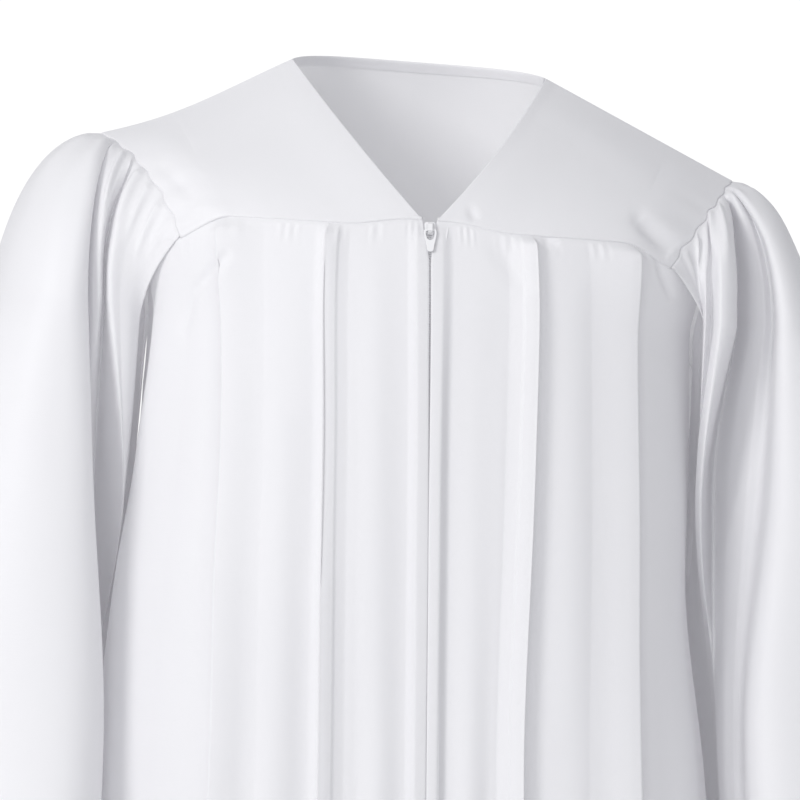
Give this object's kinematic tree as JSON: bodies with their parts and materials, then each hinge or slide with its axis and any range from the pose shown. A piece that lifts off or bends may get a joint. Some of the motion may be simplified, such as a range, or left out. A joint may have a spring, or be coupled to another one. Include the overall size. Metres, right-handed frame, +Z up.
{
  "type": "baptism robe",
  "caption": "White full-length baptism robe with V neck, shaped yoke, fluted front, full front zip and gathered wide sleeves, held open as it is worn on the shoulders",
  "frame": {"origin": "where the shoulders hold the robe: midway between the neck ends of the two shoulder seams", "axes": "+Z up, -Y out of the robe's front, +X towards the wearer's left"},
  "size_m": [0.689, 0.4883, 1.3119],
  "materials": {
    "white_cloth": "satin",
    "white_tape": "matt",
    "white_enamel": "satin"
  },
  "bodies": {
    "robe": {"back": "white_cloth", "back_yoke": "white_cloth", "front_left": "white_cloth", "front_right": "white_cloth", "front_yoke_left": "white_cloth", "front_yoke_right": "white_cloth", "sleeve_left": "white_cloth", "sleeve_right": "white_cloth", "zip_chain": "white_tape", "zip_tape_left": "white_tape", "zip_tape_right": "white_tape", "zip_slider": "white_enamel"},
    "zip_pull": {"zip_pull": "white_enamel"}
  },
  "joints": [
    {"name": "zip_pull_hinge", "type": "hinge", "parent": "robe", "child": "zip_pull", "pos_m": [0, -0.1152, -0.10998], "axis": [-1, 0, 0], "range_deg": [0, 165]}
  ]
}
